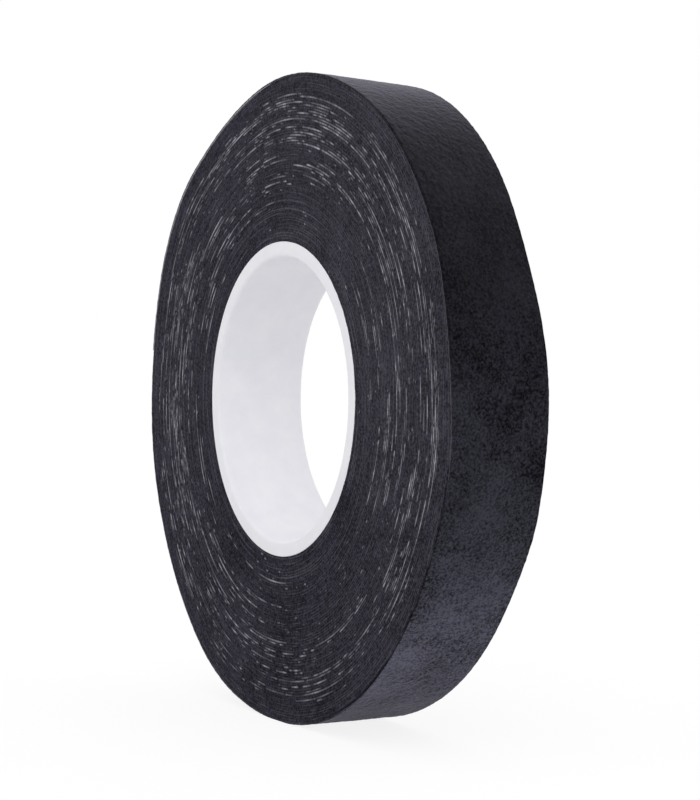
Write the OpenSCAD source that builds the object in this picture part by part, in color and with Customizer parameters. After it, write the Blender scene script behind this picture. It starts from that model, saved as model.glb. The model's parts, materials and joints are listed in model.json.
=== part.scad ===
// Roll of racket grip tape: one self-stick strip wound on a moulded core.
// The roll stands on its tread. Its axis is Y, and the origin is the centre of the core's bore.
// The strip winds counter-clockwise outwards as seen from -Y, with its soft face outwards.

/* [Core] */
// Diameter of the bore through the core
bore_d = 76.2; // [60:0.1:90]
// Thickness of the core's wall
core_wall = 4.1; // [2:0.1:8]
// Rounding of the bore's two rims
rim_round = 0.9; // [0.2:0.1:1.8]

/* [Strip] */
// Width of the strip, which is the width of the roll
strip_w = 27; // [15:0.5:50]
// Thickness of the soft grip web
web_t = 0.6; // [0.4:0.05:1.2]
// Thickness of the self-stick film on the web's inner side
film_t = 0.12; // [0.08:0.01:0.2]
// Full turns of the strip under the outermost one
turns = 61; // [5:1:70]
// Depth of the flat that the soft tread takes where the roll stands
stand_depth = 0.1; // [0.05:0.05:0.3]

/* [Free end] */
// Angle from +X at which the free end starts to lift
root_angle = 98; // [95:1:110]
// Links that stand for the flexible free end
links = 8; // [3:1:10]
// Arc of the roll that one link covers
link_arc = 9; // [4:1:9]
// Play between the free end and the turn under it
tail_gap = 0.1; // [0.05:0.05:0.3]

/* [Hidden] */
$fn = 180;
pitch = web_t + film_t;
core_r = bore_d / 2 + core_wall;
half_turn = 180;
// Radius that the free end lies on, and the lowest point of the tread
tail_seat = core_r + turns * pitch;
tread_drop = core_r + (turns + 0.5) * pitch;

CORE_GREY = [0.95, 0.95, 0.96];
WEB_GREY = [0.13, 0.13, 0.15];
FILM_GREY = [0.55, 0.55, 0.57];

TAIL_NODES = [for (kind = ["tail_web_", "tail_film_"]) for (i = [1:links]) str(kind, i)];

// Bent strip of thickness t, from radius r outwards, over the arc from angle a to angle a + sweep
module bent_strip(r, t, a, sweep) {
  rotate([0, 0, a])
    rotate_extrude(angle = sweep)
      translate([r, -strip_w / 2])
        square([t, strip_w]);
}

// Continuous winding of one layer, which starts lift above the strip's inner side.
// The upper halves are centred on the axis. The lower ones are half a pitch to the side of it,
// which carries each turn out to the next.
module winding(lift, t) {
  for (k = [0:turns - 1]) {
    bent_strip(core_r + k * pitch + lift, t, 0, half_turn);
    translate([pitch / 2, 0, 0])
      bent_strip(core_r + (k + 0.5) * pitch + lift, t, half_turn, half_turn);
  }
  bent_strip(tail_seat + lift, t, 0, root_angle);
}

// Turns the roll's axis from Z, where it is drawn, to Y
module stand() {
  rotate([90, 0, 0])
    children();
}

// One rim's rounding, cut from the corner of the core's section
module rim_cut() {
  difference() {
    square(rim_round);
    translate([rim_round, 0])
      circle(rim_round);
  }
}

module core() {
  color(CORE_GREY)
    stand()
      rotate_extrude()
        difference() {
          translate([bore_d / 2, -strip_w / 2])
            square([core_wall, strip_w]);
          for (side = [0, 1])
            mirror([0, side])
              translate([bore_d / 2, strip_w / 2 - rim_round])
                rim_cut();
        }
}

module wound_web() {
  color(WEB_GREY)
    difference() {
      stand()
        winding(film_t, web_t);
      translate([-tread_drop, -strip_w, -tread_drop - strip_w + stand_depth])
        cube([2 * tread_drop, 2 * strip_w, strip_w]);
    }
}

module wound_film() {
  color(FILM_GREY)
    stand()
      winding(0, film_t);
}

// One link of the free end, counted from 1 at the root
module tail_link(i, lift, t) {
  stand()
    bent_strip(tail_seat + tail_gap + lift, t, root_angle + (i - 1) * link_arc, link_arc);
}

module tail_web(i) {
  color(WEB_GREY)
    tail_link(i, film_t, web_t);
}

module tail_film(i) {
  color(FILM_GREY)
    tail_link(i, 0, film_t);
}

core();
wound_web();
wound_film();
for (i = [1:links]) {
  tail_web(i);
  tail_film(i);
}
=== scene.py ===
"""Looks of a roll of racket grip tape, built around its CAD frame: a soft dark strip on a white core."""

import json
import math

import bpy
import numpy as np
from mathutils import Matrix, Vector


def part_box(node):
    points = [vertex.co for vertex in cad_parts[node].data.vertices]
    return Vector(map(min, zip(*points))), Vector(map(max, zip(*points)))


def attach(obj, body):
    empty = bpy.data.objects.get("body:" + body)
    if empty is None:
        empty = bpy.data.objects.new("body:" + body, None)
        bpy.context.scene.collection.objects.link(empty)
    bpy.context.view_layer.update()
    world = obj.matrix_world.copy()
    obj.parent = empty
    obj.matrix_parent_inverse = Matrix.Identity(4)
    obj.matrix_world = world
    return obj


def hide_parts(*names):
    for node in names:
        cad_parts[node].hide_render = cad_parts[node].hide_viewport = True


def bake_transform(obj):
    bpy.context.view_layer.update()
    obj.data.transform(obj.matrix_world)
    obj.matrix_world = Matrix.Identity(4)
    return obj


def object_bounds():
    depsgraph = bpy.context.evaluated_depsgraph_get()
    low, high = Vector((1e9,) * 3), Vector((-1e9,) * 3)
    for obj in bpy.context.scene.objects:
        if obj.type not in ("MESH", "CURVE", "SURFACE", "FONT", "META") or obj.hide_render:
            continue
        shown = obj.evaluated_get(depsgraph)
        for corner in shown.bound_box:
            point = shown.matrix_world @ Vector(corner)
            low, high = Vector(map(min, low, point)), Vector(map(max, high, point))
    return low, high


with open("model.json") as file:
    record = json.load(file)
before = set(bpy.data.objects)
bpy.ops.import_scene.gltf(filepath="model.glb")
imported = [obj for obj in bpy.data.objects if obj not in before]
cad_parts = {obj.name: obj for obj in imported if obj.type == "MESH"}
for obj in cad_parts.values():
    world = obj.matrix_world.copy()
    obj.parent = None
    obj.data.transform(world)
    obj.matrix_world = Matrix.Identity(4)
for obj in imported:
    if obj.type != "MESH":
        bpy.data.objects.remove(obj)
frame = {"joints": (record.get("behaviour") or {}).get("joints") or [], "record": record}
CAD_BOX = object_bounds()

# ---------------------------------------------------------------- sizes, in metres, from the frame
MM = 0.001
TAU = 2 * math.pi
MOUNTS = {m["name"]: m for m in frame["record"]["mounts"]}
JOINTS = [np.array(j["pos_m"], float) for j in frame["joints"]]
BORE_R = MOUNTS["core_bore"]["dims"]["r_mm"] * MM
FLOOR_Z = MOUNTS["tread_flat"]["pos_m"][2]
CORE_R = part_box("core")[1].x
HALF_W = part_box("core")[1].y
# The free end: radius and angle of its first hinge, angle from one hinge to the next, and play below it
HINGE_R = math.hypot(JOINTS[0][0], JOINTS[0][2])
ROOT = math.atan2(JOINTS[0][2], JOINTS[0][0])
LINK_ARC = math.atan2(JOINTS[1][2], JOINTS[1][0]) - ROOT
LINKS = len(JOINTS)
TAIL_GAP = 0.1 * MM
# The strip: film and web, and how far it has been wound where the free end starts
FILM_T = 0.12 * MM
WEB_T = 0.6 * MM
PITCH = FILM_T + WEB_T
OUTER_R = HINGE_R - TAIL_GAP
TURNS = round((OUTER_R - CORE_R) / PITCH) - 1
STRIP_END = TAU * TURNS + ROOT

# ---------------------------------------------------------------- the roll's own irregularities
# Lumps of the outline, as (angle from +X in degrees, height as a share of the radius, spread in degrees)
FRONT_LUMPS = [
    (143, 0.019, 12), (112, -0.021, 15), (45, 0.020, 14), (24, 0.012, 8), (-11, 0.010, 7),
    (-47, -0.006, 14), (-120, 0.021, 13), (-143, 0.004, 7), (-168, 0.013, 14), (152, 0.005, 8),
    (135, 0.005, 5),
]
BACK_LUMPS = [
    (143, 0.012, 14), (112, -0.014, 16), (58, 0.006, 12), (24, -0.016, 9), (-2, 0.008, 10),
    (-21, 0.009, 6), (-34, -0.004, 8), (-48, -0.002, 12), (-141, -0.006, 8), (3, 0.002, 6),
    (78, -0.012, 9),
]
# Power with which the lumps fade towards the core
LUMP_FADE = 1.4
# The outermost laps' rounded shoulder: how far it drops, and how deep into the roll it reaches
CORNER_DROP = 0.16 * MM
CORNER_REACH = 1.6 * MM
# Drift of the strip's edge, as (mm from turn to turn, lumps around the roll, depth in mm, noise seed)
DRIFTS = [(1.0, 2.6, 0.05, 2), (2.8, 2.0, 0.06, 3), (9.0, 1.2, 0.10, 4)]
# Where the noise is read for drift: clear of its origin, and far from one side of the roll to the other
DRIFT_PLACE = 9
DRIFT_SIDE = 40
# Multipliers that scramble a cell's three numbers and the seed, and then the result twice
CELL_MIX = (73856093, 19349663, 83492791, 2654435761)
STIR = ((13, 1274126177), (15, 2246822519))
LOW_BITS = 0x7FFFFFFF


def swell(phi, table):
    """Sum of smooth swells around the roll, each given as (angle, height, spread), in degrees."""
    out = np.zeros_like(phi)
    for angle, height, spread in table:
        away = (phi - math.radians(angle) + math.pi) % TAU - math.pi
        out += height * np.exp(-0.5 * (away / math.radians(spread)) ** 2)
    return out


def lattice(cells, seed):
    """Whole-number cells to fixed random numbers from -1 to 1."""
    h = seed * CELL_MIX[3]
    for k in range(3):
        h = h ^ (cells[..., k] * CELL_MIX[k])
    for shift, factor in STIR:
        h = ((h ^ (h >> shift)) * factor) & LOW_BITS
    return (h ^ (h >> 16)) / (LOW_BITS / 2) - 1


def noise(points, seed):
    """Smooth noise, about -1 to 1, with one lump to each unit of the points (... x 3)."""
    cell = np.floor(points).astype(np.int64)
    t = points - cell
    t = t * t * (3 - 2 * t)
    out = np.zeros(points.shape[:-1])
    for corner in range(8):
        step = np.array([corner & 1, corner >> 1 & 1, corner >> 2 & 1])
        weight = np.prod(np.where(step, t, 1 - t), axis=-1)
        out += weight * lattice(cell + step, seed)
    return out


def stacked(*xyz):
    """Three coordinates of any matching shapes, as one array of points."""
    return np.stack(np.broadcast_arrays(*xyz), -1).astype(float)


def rough(points, layers):
    """Sum of noises over points in metres, each given as (size, height, seed), with both sizes in mm."""
    return sum(height * MM * noise(points / (size * MM), seed) for size, height, seed in layers)


def turn_growth(phi):
    """How far a turn has grown outwards at each angle, from 0 to 1: not over the top half, as in the CAD."""
    phi = phi % TAU
    return np.where(phi < math.pi, 0.0, (1 + np.cos(phi)) / 2)


def strip_radius(theta, share):
    """Radius of the strip after theta of winding, at a share of its thickness, before any lump."""
    turn = np.floor(theta / TAU + 1e-9)
    return CORE_R + PITCH * (turn + turn_growth(theta) + share)


def lumped(radius, phi, y):
    """Radius with the roll's lumps, which fade towards the core and change from its front to its back."""
    back = (y / HALF_W + 1) / 2
    depth = np.clip((radius - CORE_R) / (OUTER_R - CORE_R), 0, 1.1)
    height = swell(phi, FRONT_LUMPS) * (1 - back) + swell(phi, BACK_LUMPS) * back
    return radius + OUTER_R * height * depth**LUMP_FADE


def side_recess(radius, phi, side):
    """How far the strip's edge lies behind the core's rim: drift between turns, and a rounded shoulder."""
    out = CORNER_DROP * np.exp((radius - OUTER_R) / CORNER_REACH)
    for size, swing, depth, seed in DRIFTS:
        across = np.cos(phi) * swing + DRIFT_PLACE
        up = np.sin(phi) * swing + DRIFT_SIDE * side
        out = out + depth * MM * noise(stacked(radius / (size * MM), across, up), seed)
    return out


# ---------------------------------------------------------------- mesh helpers
def make_mesh(name, points, quads, material, values=None):
    """A mesh object from arrays of points and of four-cornered faces, with named values at its points."""
    mesh = bpy.data.meshes.new(name)
    mesh.vertices.add(len(points))
    mesh.vertices.foreach_set("co", np.ascontiguousarray(points, np.float32).ravel())
    mesh.loops.add(quads.size)
    mesh.loops.foreach_set("vertex_index", np.ascontiguousarray(quads, np.int32).ravel())
    mesh.polygons.add(len(quads))
    mesh.polygons.foreach_set("loop_start", np.arange(0, quads.size, 4, dtype=np.int32))
    mesh.polygons.foreach_set("use_smooth", np.full(len(quads), True))
    for key, value in (values or {}).items():
        mesh.attributes.new(key, "FLOAT", "POINT").data.foreach_set("value", value.astype(np.float32))
    mesh.materials.append(material)
    mesh.update(calc_edges=True)
    mesh.validate()
    obj = bpy.data.objects.new(name, mesh)
    bpy.context.scene.collection.objects.link(obj)
    return obj


def polar(radius, phi, y):
    """Points in the row frame from radius and angle about the roll's axis, and place along it."""
    return stacked(radius * np.cos(phi), y, radius * np.sin(phi))


def grid_faces(index):
    """Faces of a grid of points, which face -Y where rows run outwards and columns run with the angle."""
    return np.stack([index[:-1, :-1], index[1:, :-1], index[1:, 1:], index[:-1, 1:]], -1).reshape(-1, 4)


def loop_faces(low, high):
    """Faces of the wall between two closed loops of the same number of points."""
    return np.stack([low, np.roll(low, -1), np.roll(high, -1), high], -1)


def cap_faces(loop):
    """Faces that close a strip section's loop, paired from its front end to its back end."""
    half = len(loop) // 2
    left = loop[:half]
    right = loop[::-1][:half]
    return np.stack([left[:-1], left[1:], right[1:], right[:-1]], -1)


def on_roll(piece, slot, *nodes):
    """Fixes a piece to the roll's body, and hides the CAD nodes that it stands for. Its slot is not used."""
    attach(piece, "roll")
    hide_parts(*nodes)


# ---------------------------------------------------------------- materials
class Shader:
    """A material's node tree, with short calls for the nodes used here."""

    def __init__(self, name):
        self.material = bpy.data.materials.new(name)
        self.material.use_nodes = True
        self.nodes = self.material.node_tree.nodes
        self.links = self.material.node_tree.links
        self.bsdf = self.nodes["Principled BSDF"]
        self.place = self.nodes.new("ShaderNodeTexCoord").outputs["Object"]

    def put(self, socket, value):
        """Links a socket's value, or sets it."""
        if isinstance(value, bpy.types.NodeSocket):
            self.links.new(value, socket)
        else:
            socket.default_value = value

    def noise(self, size, detail=3.0, roughness=0.55):
        """Noise with lumps about size metres across, from 0 to 1."""
        node = self.nodes.new("ShaderNodeTexNoise")
        self.put(node.inputs["Vector"], self.place)
        node.inputs["Scale"].default_value = 1 / size
        node.inputs["Detail"].default_value = detail
        node.inputs["Roughness"].default_value = roughness
        return node.outputs["Fac"]

    def spread(self, value, low, high, to_low=0.0, to_high=1.0):
        """Values from low to high, stretched to the new range and held inside it."""
        node = self.nodes.new("ShaderNodeMapRange")
        inputs = {"Value": value, "From Min": low, "From Max": high, "To Min": to_low, "To Max": to_high}
        for key, number in inputs.items():
            self.put(node.inputs[key], number)
        return node.outputs["Result"]

    def calculate(self, operation, a, b):
        node = self.nodes.new("ShaderNodeMath")
        node.operation = operation
        self.put(node.inputs[0], a)
        self.put(node.inputs[1], b)
        return node.outputs[0]

    def mix(self, share, a, b):
        """Colour a where share is 0, and b where it is 1."""
        node = self.nodes.new("ShaderNodeMix")
        node.data_type = "RGBA"
        self.put(node.inputs[0], share)
        for socket, colour in ((node.inputs[6], a), (node.inputs[7], b)):
            self.put(socket, (*colour, 1) if isinstance(colour, tuple) else colour)
        return node.outputs[2]

    def value_of(self, name):
        """The mesh's own value of that name."""
        node = self.nodes.new("ShaderNodeAttribute")
        node.attribute_name = name
        return node.outputs["Fac"]

    def bump(self, height, distance, strength, under=None):
        """Relief as deep as distance, on top of an earlier relief if one is given."""
        node = self.nodes.new("ShaderNodeBump")
        node.inputs["Strength"].default_value = strength
        node.inputs["Distance"].default_value = distance
        self.put(node.inputs["Height"], height)
        if under is not None:
            self.put(node.inputs["Normal"], under)
        return node.outputs["Normal"]

    def finish(self, **sockets):
        """Sets the surface shader's sockets, named with _ for a space, and gives the material."""
        for key, value in sockets.items():
            self.put(self.bsdf.inputs[key.replace("_", " ")], value)
        return self.material


# The web's mottle: sizes of its patches, blobs and grain, and how much the last two weigh
PATCH_SIZE = 20 * MM
BLOB_SIZE = 2.4 * MM
GRAIN_SIZE = 0.65 * MM
BLOB_SHARE = 0.35
GRAIN_SHARE = 1.8
# Darkest and lightest colours: the web's cut edge; the film's edge, whose pale colour is also spread over the
# sides as painted light; the web's face; and that face's painted light, lighter where bounce light from the
# floor and light from above fall on it
EDGE_COLOURS = ((0.0, 0.0, 0.001), (0.044, 0.039, 0.059))
FILM_EDGE_COLOURS = ((0.42, 0.42, 0.47), (0.66, 0.66, 0.72))
FACE_COLOURS = ((0.0, 0.0, 0.0), (0.016, 0.016, 0.022))
TREAD_PAINTED_LIGHT_COLOURS = ((0.0, 0.0, 0.001), (0.126, 0.125, 0.172))


def web_material(name, colours, other_colours, patchy, contrast, sheen):
    """Matte suede-like web, mottled in patches, blobs and fine grain, with a soft nap.

    Each pair of colours is the darkest and the lightest of the mottle. The other pair takes over where the
    mesh's own value, other, says so.
    """
    s = Shader(name)
    patches = s.noise(PATCH_SIZE, 2)
    blobs = s.noise(BLOB_SIZE, 2, 0.6)
    grain = s.noise(GRAIN_SIZE, 3, 0.7)
    tone = 0.0
    for value, share in ((patches, patchy), (blobs, BLOB_SHARE), (grain, GRAIN_SHARE)):
        away = s.calculate("SUBTRACT", value, 0.5)
        tone = s.calculate("ADD", tone, s.calculate("MULTIPLY", away, share * contrast))
    tone = s.spread(tone, -0.5, 0.5)
    colour = s.mix(s.value_of("other"), s.mix(tone, *colours), s.mix(tone, *other_colours))
    nap = s.bump(blobs, 0.06 * MM, 0.6)
    nap = s.bump(grain, 0.08 * MM, 0.8, nap)
    return s.finish(
        Base_Color=colour, Normal=nap, Roughness=s.spread(grain, 0.3, 0.7, 0.86, 0.98),
        Specular_IOR_Level=0.06, Sheen_Weight=sheen, Sheen_Roughness=0.35, Sheen_Tint=(0.86, 0.84, 1.0, 1),
    )


def film_material():
    """Pale self-stick film, faintly glossy, with the adhesive's uneven coat."""
    s = Shader("self_stick_film")
    coat = s.noise(2.2 * MM, 4, 0.6)
    fine = s.noise(0.4 * MM, 2)
    colour = s.mix(s.spread(coat, 0.35, 0.7), (0.30, 0.30, 0.31), (0.46, 0.46, 0.47))
    return s.finish(
        Base_Color=colour, Normal=s.bump(s.calculate("ADD", coat, fine), 0.04 * MM, 0.6),
        Roughness=s.spread(coat, 0.3, 0.7, 0.30, 0.5), Specular_IOR_Level=0.45,
    )


def core_material():
    """White moulded plastic, smooth and satin, with faint haze and flow marks."""
    s = Shader("white_moulded_plastic")
    haze = s.noise(9 * MM, 4, 0.6)
    scuff = s.noise(0.9 * MM, 3, 0.7)
    colour = s.mix(s.spread(haze, 0.35, 0.65), (0.885, 0.885, 0.935), (0.93, 0.93, 0.97))
    flow = s.calculate("ADD", haze, s.calculate("MULTIPLY", scuff, 0.15))
    return s.finish(
        Base_Color=colour, Normal=s.bump(flow, 0.05 * MM, 0.35),
        Roughness=s.spread(scuff, 0.3, 0.75, 0.30, 0.42), Specular_IOR_Level=0.5,
        Subsurface_Weight=0.12, Subsurface_Scale=0.8 * MM, Subsurface_Radius=(1.0, 1.0, 1.0),
    )


SIDE_WEB = web_material("web_edge", EDGE_COLOURS, FILM_EDGE_COLOURS, patchy=0.35, contrast=1.7, sheen=0.08)
# On the tread, the second pair of colours is painted light where light falls on it
TREAD_WEB = web_material("web_face", FACE_COLOURS, TREAD_PAINTED_LIGHT_COLOURS, patchy=0.9, contrast=1.75, sheen=0.45)
FILM = film_material()
CORE_PLASTIC = core_material()

# ---------------------------------------------------------------- the core
CORE_COLUMNS = 360
RIM_ROUND = 0.9 * MM
EDGE_BREAK = 0.15 * MM
RIM_STEPS = 8


def core_section():
    """The core's closed section as (radius, y) points: bore rims softly rounded, outer rims barely broken."""
    corners = [(BORE_R, RIM_ROUND, -1), (CORE_R, EDGE_BREAK, 1)]
    points = []
    for side in (-1, 1):
        for edge, rounding, outwards in corners[::-side]:
            turns = np.linspace(0, math.pi / 2, RIM_STEPS + 1)[::side * outwards]
            radii = edge - outwards * rounding * (1 - np.cos(turns))
            points.append(np.stack([radii, side * (HALF_W - rounding * (1 - np.sin(turns)))], -1))
    return np.concatenate(points)


def make_core():
    section = core_section()
    phi = np.linspace(0, TAU, CORE_COLUMNS, endpoint=False)[:, None]
    points = polar(section[None, :, 0], phi, section[None, :, 1])
    index = np.arange(phi.size * len(section)).reshape(phi.size, len(section))
    walls = [loop_faces(loop, after) for loop, after in zip(index, np.roll(index, -1, axis=0))]
    core = make_mesh("core_ring", points.reshape(-1, 3), np.concatenate(walls), CORE_PLASTIC)
    on_roll(core, "core", "core")


# ---------------------------------------------------------------- the wound strip's two sides
LAPS = TURNS + 1
SIDE_LAPS = LAPS - 1
BANDS = 6
COLUMNS = 900
# Where a lap's edge is sampled across its thickness, and how far each sample lies behind the web's crown
SHARES = np.array([0.0, 0.15, 0.29, 0.43, 0.64, 0.86])
EDGE_DEPTHS = np.array([0.060, 0.066, 0.052, 0.012, 0.0, 0.018]) * MM
SAMPLES = len(SHARES)
# Samples that show the film's edge, and how pale the first and the last of them are
FILM_SAMPLES = 4
FILM_FADE = 0.7
# Depth of the closed slab behind a side's face
SLAB = 1.2 * MM
# How much further out each sample lies than the one before, where the first turn starts on the core
FIRST_STEP = 0.002 * MM
# Laps at the outside whose edges show no film
SMOOTH_LAPS = 7
# Where the film shows most, as (angle in degrees, spread in degrees, families of streaks)
STREAK_ZONES = [
    (62, 18, 21), (25, 20, 22), (-8, 16, 22), (-38, 16, 14), (-85, 20, 14), (-118, 18, 20), (-150, 18, 16),
    (178, 18, 20), (148, 16, 12), (118, 16, 16), (92, 14, 18),
]
# A streak's least length, what it has beyond that on average, and the average gap to the next one, in mm
STREAK_LEAST = 1.4
STREAK_MORE = 3.4
STREAK_GAP = 3.0
SPECKS = 800
# Painted light: the sides are painted lighter towards the film's pale colour where light falls on them, most
# at the upper right, as (angle in degrees, share, spread in degrees)
SIDE_PAINTED_LIGHT = [(40, 0.022, 40), (-20, 0.006, 25), (170, 0.008, 25)]
# Where the noise of a side's edges is read, far from one side of the roll to the other
EDGE_SIDE = 60.0
STREAK_SEEDS = {-1: 11, 1: 12}


def lap_radius(lap):
    return CORE_R + PITCH * lap


def add_streak(pale, rng, lap, phi, length, strength):
    """One streak along a lap's film, brightest at a random place."""
    if not 0 <= lap < LAPS - SMOOTH_LAPS:
        return
    count = max(1, round(length / (lap_radius(lap) * TAU / COLUMNS)))
    first = int(((phi - ROOT) % TAU) / TAU * COLUMNS)
    columns = (np.arange(count) + first) % COLUMNS
    away = np.abs(np.linspace(0, 1, count) - rng.uniform(0.1, 0.9))
    shape = (0.35 + 0.65 * np.exp(-((away / 0.22) ** 2))) * rng.uniform(0.7, 1.0, count)
    pale[lap, columns] = np.maximum(pale[lap, columns], strength * shape)


def add_family(pale, rng, angle, spread):
    """A few rows of streaks, on laps close to one another and at about the same angle."""
    lap = int(LAPS * math.sqrt(rng.uniform(0.01, 1)))
    phi = math.radians(rng.normal(angle, spread))
    for _ in range(rng.integers(1, 6)):
        lap += int(rng.choice([1, 2, 2, 3, 5]))
        phi += rng.normal(0, 0.06)
        strength = rng.uniform(0.45, 1.0)
        at = phi
        for _ in range(rng.integers(1, 5)):
            length = (STREAK_LEAST + rng.exponential(STREAK_MORE)) * MM
            add_streak(pale, rng, lap, at, length, strength * rng.uniform(0.5, 1.0))
            at += (length + rng.exponential(STREAK_GAP) * MM) / lap_radius(lap)


def pale_streaks(side):
    """How pale the film's edge is on each lap and column of one side: families of streaks, and specks."""
    rng = np.random.default_rng(STREAK_SEEDS[side])
    pale = np.zeros((LAPS, COLUMNS))
    for angle, spread, families in STREAK_ZONES:
        for _ in range(families):
            add_family(pale, rng, angle, spread)
    for _ in range(SPECKS):
        lap = int(LAPS * math.sqrt(rng.uniform(0.0, 1)))
        add_streak(pale, rng, lap, rng.uniform(0, TAU), rng.uniform(0.3, 1.4) * MM, rng.uniform(0.2, 0.8))
    return pale


def edge_tint(side, streaks, sample, phi, turns, along):
    """How much the film's pale colour takes over at each point of a side: streaks, fine arcs, and painted
    light.
    """
    film = sample[:, None] < FILM_SAMPLES
    tint = np.where(film, streaks, 0)
    tint[(sample == 0) | (sample == FILM_SAMPLES - 1)] *= FILM_FADE
    arcs = np.maximum(noise(stacked(along / 9.0, turns * 1.3, EDGE_SIDE * side), 9), 0)
    # the swells over the angle are painted light, lighter at the upper right where light falls
    return tint * 0.95 + swell(phi, SIDE_PAINTED_LIGHT)[None, :] + 0.11 * arcs * film


def edge_depth(side, tint, sample, turns, along):
    """How far each point of a side lies behind the web's crown: profile, crushed in places, and fibres."""
    cut = sample[:, None] * 1.3 + EDGE_SIDE * side
    crush = noise(stacked(along / 4.0, turns * 0.8, EDGE_SIDE * side), 6)
    fibres = noise(stacked(along / 1.3, cut, turns), 7)
    lint = noise(stacked(along / 0.5, cut * 1.7, turns), 8)
    profile = EDGE_DEPTHS[sample][:, None] * (0.8 + 0.9 * crush) * (1 - np.minimum(tint * 2, 1))
    return profile + 0.040 * MM * fibres + 0.035 * MM * lint


def band_face(side, pale, band):
    """Points and tint of one band of laps: rows run outwards across the laps, and columns with the angle."""
    laps = np.linspace(0, SIDE_LAPS, BANDS + 1).astype(int)[band:band + 2]
    levels = np.arange(laps[0] * SAMPLES, laps[1] * SAMPLES + 1)
    lap = levels // SAMPLES
    sample = levels % SAMPLES
    phi = ROOT + np.arange(COLUMNS) * TAU / COLUMNS
    theta = STRIP_END - TAU * (LAPS - lap[:, None]) + (phi[None, :] - ROOT)
    radius = strip_radius(theta, SHARES[sample][:, None])
    radius = np.maximum(radius, CORE_R + levels[:, None] * FIRST_STEP)
    # the noise follows the length wound, in mm, so that it has no seam
    turns = theta / TAU
    along = theta * radius / MM
    tint = edge_tint(side, pale[lap], sample, phi, turns, along)
    recess = side_recess(radius, phi[None, :], side)
    y = side * (HALF_W - recess - edge_depth(side, tint, sample, turns, along))
    return polar(lumped(radius, phi[None, :], y), phi[None, :], y), tint


def side_band(side, pale, band):
    """One band of laps of one side of the roll, as a closed slab whose outer face is the laps' real edges."""
    front, tint = band_face(side, pale, band)
    rows, columns = tint.shape
    index = np.arange(rows * columns).reshape(rows, columns)
    # each lap's last column joins the next lap's first, so the band is one spiral with no seam
    joined = np.stack([index[:-SAMPLES, -1], index[SAMPLES:, 0]], -1)
    # the inner and the outer boundary, with the step from a lap's last column to its first
    inner = np.concatenate([index[0, :], index[SAMPLES:0:-1, 0]])
    outer = np.concatenate([index[-1, :], index[-2:-SAMPLES - 2:-1, -1]])
    points = front.reshape(-1, 3)
    behind = points[np.concatenate([inner, outer])] * [1, 0, 1] + [0, side * (HALF_W - SLAB), 0]
    inner_back = np.arange(len(inner)) + len(points)
    outer_back = np.arange(len(outer)) + len(points) + len(inner)
    rims = [inner, inner_back, outer_back, outer]
    walls = [loop_faces(rims[k], rims[k + 1]) for k in range(3)]
    quads = np.concatenate([grid_faces(index), grid_faces(joined), *walls])
    if side > 0:
        quads = quads[:, ::-1]
    tint = np.concatenate([tint.ravel(), np.zeros(len(behind))])
    name = f"wound_{'front' if side < 0 else 'back'}_{band + 1}"
    return make_mesh(name, np.concatenate([points, behind]), quads, SIDE_WEB, {"other": tint})


def make_sides():
    for side in (-1, 1):
        pale = pale_streaks(side)
        for band in range(BANDS):
            on_roll(side_band(side, pale, band), "web", "wound_web")


# ---------------------------------------------------------------- lengths of strip swept along the winding
LAP_COLUMNS = 1560
TREAD_ROWS = 91
CORNER_R = 0.22 * MM
CORNER_STEPS = 3
# Share of the half width, at the strip's edges, over which they are moved in
EDGE_ZONE = 0.1
# Where the last lap has come a little away from the lap under it, on the front, as (angle, depth, spread)
LAP_OPENING = [(-42, 1.5 * MM, 18)]
# How much of the lap's thickness the opening takes, and the power that makes it end abruptly
OPENING_REACH = 0.8
OPENING_POWER = 0.4
# Where the tread is painted lighter, which is painted light, most at the lower right where bounce light from
# the floor falls, as (angle, share, spread)
TREAD_PAINTED_LIGHT = [(-50, 1.0, 17), (-6, 0.16, 12), (95, 0.3, 20), (-140, 0.6, 30), (150, 0.5, 20)]
# Lumps of the soft face, and fraying of the strip's edges, as (size in mm, height in mm, seed)
NAP_LUMPS = [(8.0, 0.06, 21), (1.5, 0.025, 22), (0.8, 0.07, 23)]
FRAYING = [(1.1, 0.05, 31), (0.6, 0.03, 32)]
# Fewest columns in one part of the free end
LEAST_COLUMNS = 12


def strip_section(low, high, rounded):
    """A strip's closed section, from low to high in its thickness, as (height, place across) points.

    It runs from the front edge over the outer face to the back edge. The inner face is flat and closes it.
    """
    front = [(low, 0.0), (high, 0.0)]
    if rounded:
        front = [(low + (high - low) * t, 0.0) for t in (0.0, 0.2, 0.4, 0.6)]
        for k in range(1, CORNER_STEPS + 1):
            turn = k / CORNER_STEPS * math.pi / 2
            front.append((high - CORNER_R * (1 - math.sin(turn)), CORNER_R * (1 - math.cos(turn))))
    front = np.array(front) - [0, HALF_W]
    across = np.linspace(front[-1, 1], -front[-1, 1], TREAD_ROWS + 1)[1:-1]
    face = np.stack([np.full(len(across), high), across], -1)
    return np.concatenate([front, face, front[::-1] * [1, -1]])


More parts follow.
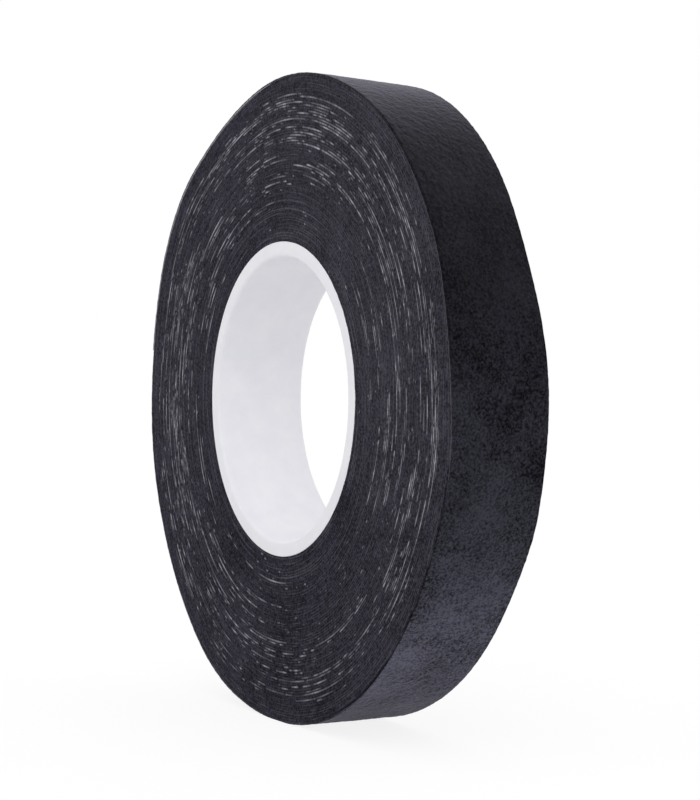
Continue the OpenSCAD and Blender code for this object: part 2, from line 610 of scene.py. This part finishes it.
def sweep(name, thetas, section, material, lift=0.0, napped=True):
    """A closed length of strip, whose section follows the winding's radius, lumps and edges."""
    height, place = section.T
    side = np.sign(place)
    phi = thetas[:, None] % TAU
    radius = strip_radius(thetas[:, None], 0.0) + height + lift
    recess = np.where(side < 0, side_recess(radius, phi, -1), side_recess(radius, phi, 1))
    near_edge = np.clip((np.abs(place) / HALF_W - (1 - EDGE_ZONE)) / EDGE_ZONE, 0, 1)
    open_share = np.clip(1 - height / (OPENING_REACH * PITCH), 0, 1) ** OPENING_POWER
    opening = swell(phi, LAP_OPENING) * open_share * (side < 0)
    if napped:
        where = polar(radius, phi, place)
        on_face = np.clip((height - PITCH + CORNER_R) / CORNER_R, 0, 1)
        radius = radius + on_face * rough(where, NAP_LUMPS)
        recess = recess + rough(where, FRAYING)
    y = place - side * (recess + opening) * near_edge
    points = polar(lumped(radius, phi, y), phi, y)
    points[..., 2] = np.maximum(points[..., 2], FLOOR_Z)
    index = np.arange(radius.size).reshape(radius.shape)
    walls = [loop_faces(index[r], index[r + 1]) for r in range(len(index) - 1)]
    caps = [cap_faces(index[0])[:, ::-1], cap_faces(index[-1])]
    # painted light: the tread's colour turns lighter where these swells say, in place of light falling on it
    painted_light = np.broadcast_to(swell(phi, TREAD_PAINTED_LIGHT), radius.shape).ravel()
    quads = np.concatenate(walls + caps)
    return make_mesh(name, points.reshape(-1, 3), quads, material, {"other": painted_light})


def make_outer_lap():
    """The last lap that stays on the roll, in two lengths: its face is the tread."""
    section = strip_section(0, PITCH, True)
    ends = [STRIP_END - TAU, STRIP_END - TAU / 2, STRIP_END - LINK_ARC / 2]
    for k in range(2):
        thetas = np.linspace(ends[k], ends[k + 1], LAP_COLUMNS // 2)
        lap = sweep(f"outer_lap_{k + 1}", thetas, section, TREAD_WEB)
        on_roll(lap, "web", "wound_web", "wound_film")


def fix_tail_part(piece, kind, k):
    """Part k of the free end, which lies across hinge k. The last one, which has no hinge, is fixed to its
    body; the others are left in place and hide their CAD part.
    """
    body = "roll" if k == 0 else f"tail_{k}"
    if k == LINKS:
        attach(piece, body)
        return
    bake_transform(piece)
    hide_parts(f"tail_{kind}_{k + 1}")


def make_tail():
    """The free end, cut halfway along each link, so that each piece lies across one hinge."""
    cuts = [STRIP_END + LINK_ARC * (k - 0.5) for k in range(LINKS + 1)] + [STRIP_END + LINK_ARC * LINKS]
    web = strip_section(FILM_T, PITCH, True)
    film = strip_section(0, FILM_T, False)
    for k in range(LINKS + 1):
        count = round((cuts[k + 1] - cuts[k]) / TAU * LAP_COLUMNS) + 1
        thetas = np.linspace(cuts[k], cuts[k + 1], max(count, LEAST_COLUMNS))
        # the free end rises to its play over the half link before its first hinge
        lift = np.clip((thetas - cuts[0]) / (LINK_ARC / 2), 0, 1)[:, None] * TAIL_GAP
        for kind, section, material in (("web", web, TREAD_WEB), ("film", film, FILM)):
            name = f"tail_{kind}_part_{k + 1}"
            piece = sweep(name, thetas, section, material, lift, napped=kind == "web")
            fix_tail_part(piece, kind, k)


# ---------------------------------------------------------------- camera, light and floor
MEAN_R = (CAD_BOX[1].z - CAD_BOX[0].z) / 2
CAMERA_PLACE = Vector((5.133, -2.754, -0.003)) * MEAN_R
CAMERA_AIM = math.radians(60.94)
CAMERA_LENS = 83.5
LIGHT_PLACE = Vector((0.8, -0.4, 0.9))
LIGHT_SIZE = 0.6
LIGHT_WATTS = 1.2
WORLD_LIGHT = 0.88
FLOOR_SIZE = 40.0
FLOOR_WHITE = 0.85
# How much of the floor the camera sees as glowing white, which leaves only a faint shadow, and how bright
GLOW_SHARE = 0.8
GLOW_BRIGHTNESS = 1.07


def make_camera():
    """A long lens, level with the roll's middle, as in the photograph."""
    data = bpy.data.cameras.new("camera")
    data.lens = CAMERA_LENS
    data.sensor_width = 36
    camera = bpy.data.objects.new("camera", data)
    camera.location = CAMERA_PLACE
    aim = Vector((-math.sin(CAMERA_AIM), math.cos(CAMERA_AIM), 0))
    camera.rotation_euler = aim.to_track_quat("-Z", "Y").to_euler()
    bpy.context.scene.collection.objects.link(camera)
    bpy.context.scene.camera = camera


def make_light():
    """One soft light, high on the right, that aims at the roll."""
    data = bpy.data.lights.new("high_right", "AREA")
    data.shape = "DISK"
    data.size = LIGHT_SIZE
    data.energy = LIGHT_WATTS
    light = bpy.data.objects.new("high_right", data)
    light.location = LIGHT_PLACE
    light.rotation_euler = (-LIGHT_PLACE).to_track_quat("-Z", "Y").to_euler()
    light.visible_camera = False
    bpy.context.scene.collection.objects.link(light)


def camera_rays(nodes):
    return nodes.new("ShaderNodeLightPath").outputs["Is Camera Ray"]


def make_surround():
    """A pure white surround for the camera, which lights the roll a little less brightly."""
    world = bpy.data.worlds.new("studio")
    bpy.context.scene.world = world
    world.use_nodes = True
    nodes = world.node_tree.nodes
    links = world.node_tree.links
    strength = nodes.new("ShaderNodeMapRange")
    links.new(camera_rays(nodes), strength.inputs["Value"])
    strength.inputs["To Min"].default_value = WORLD_LIGHT
    strength.inputs["To Max"].default_value = 1.0
    links.new(strength.outputs["Result"], nodes["Background"].inputs["Strength"])
    nodes["Background"].inputs["Color"].default_value = (1, 1, 1, 1)


def floor_material():
    """White, and for the camera mostly glowing, as bright as the surround, so that no horizon shows."""
    s = Shader("floor_white")
    s.finish(Base_Color=(FLOOR_WHITE, FLOOR_WHITE, FLOOR_WHITE, 1), Specular_IOR_Level=0.0)
    glow = s.nodes.new("ShaderNodeEmission")
    glow.inputs["Strength"].default_value = GLOW_BRIGHTNESS
    both = s.nodes.new("ShaderNodeMixShader")
    s.put(both.inputs[0], s.calculate("MULTIPLY", camera_rays(s.nodes), GLOW_SHARE))
    s.put(both.inputs[1], s.bsdf.outputs[0])
    s.put(both.inputs[2], glow.outputs[0])
    s.put(s.nodes["Material Output"].inputs["Surface"], both.outputs[0])
    return s.material


def make_floor():
    """A plain white floor under the roll."""
    half = FLOOR_SIZE / 2
    corners = np.array([(x * half, y * half, FLOOR_Z) for x, y in ((-1, -1), (1, -1), (1, 1), (-1, 1))])
    make_mesh("floor", corners, np.array([[0, 1, 2, 3]]), floor_material())


# ---------------------------------------------------------------- build
make_core()
make_sides()
make_outer_lap()
make_tail()
make_camera()
make_light()
make_surround()
make_floor()
bpy.context.scene.view_settings.view_transform = "Standard"
